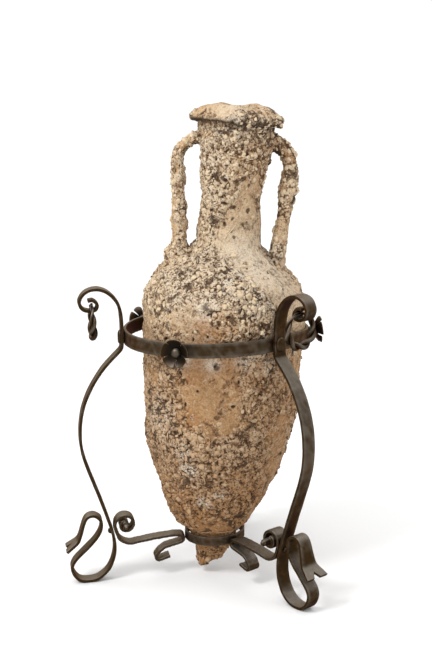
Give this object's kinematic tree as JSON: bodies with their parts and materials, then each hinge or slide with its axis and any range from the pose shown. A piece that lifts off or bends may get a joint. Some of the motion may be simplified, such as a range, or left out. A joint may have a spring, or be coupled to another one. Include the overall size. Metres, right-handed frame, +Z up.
{
  "type": "roman amphora in an iron stand",
  "caption": "Sea-crusted two-handled Roman transport amphora with a broken toe, resting in a wrought-iron tripod stand with scrolled legs, rosettes and twisted hanging rings.",
  "frame": {"origin": "on the ground under the middle of the overall box", "axes": "+Z up, -Y towards the viewer of the show side, +X to the viewer's right"},
  "size_m": [0.5754, 0.5992, 1.0176],
  "materials": {
    "fired_clay": "matte",
    "wrought_iron": "satin"
  },
  "bodies": {
    "root": {"amphora": "fired_clay", "upper_ring": "wrought_iron", "lower_ring": "wrought_iron", "leg_left": "wrought_iron", "strut_left": "wrought_iron", "joint_plate_left": "wrought_iron", "rivet_left": "wrought_iron", "hanging_ring_left": "wrought_iron", "leg_right": "wrought_iron", "strut_right": "wrought_iron", "joint_plate_right": "wrought_iron", "rivet_right": "wrought_iron", "hanging_ring_right": "wrought_iron", "leg_back": "wrought_iron", "strut_back": "wrought_iron", "joint_plate_back": "wrought_iron", "rivet_back": "wrought_iron", "hanging_ring_back": "wrought_iron", "rosette_front": "wrought_iron", "boss_front": "wrought_iron", "rosette_right": "wrought_iron", "boss_right": "wrought_iron", "rosette_back": "wrought_iron", "boss_back": "wrought_iron"}
  },
  "joints": []
}
